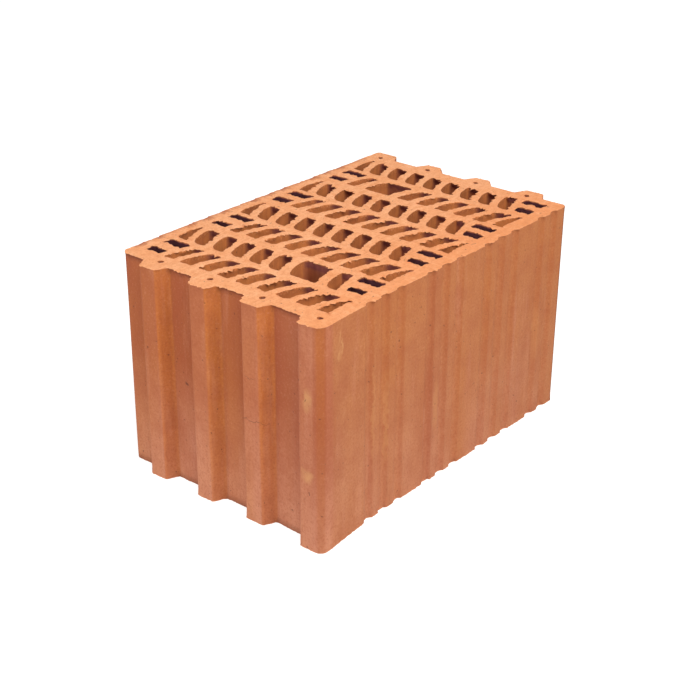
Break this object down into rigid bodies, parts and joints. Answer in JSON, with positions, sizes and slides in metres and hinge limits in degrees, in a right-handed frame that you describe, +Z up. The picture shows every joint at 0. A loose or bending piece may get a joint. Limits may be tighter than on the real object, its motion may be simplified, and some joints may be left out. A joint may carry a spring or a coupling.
{
  "type": "hollow clay block",
  "caption": "Fired clay wall block with upright through cells in a herringbone, tongue and groove ends, grip holes and plaster grooves.",
  "frame": {"origin": "centre of the block on its lower bed face", "axes": "+X along the length from one tongue and groove end to the other, +Y across the wall's thickness, +Z up along the cells"},
  "size_m": [0.393, 0.25, 0.219],
  "materials": {
    "fired_clay": "matte fired clay, wire-cut bed faces"
  },
  "bodies": {
    "root": {"clay_block": "fired_clay"}
  },
  "joints": []
}
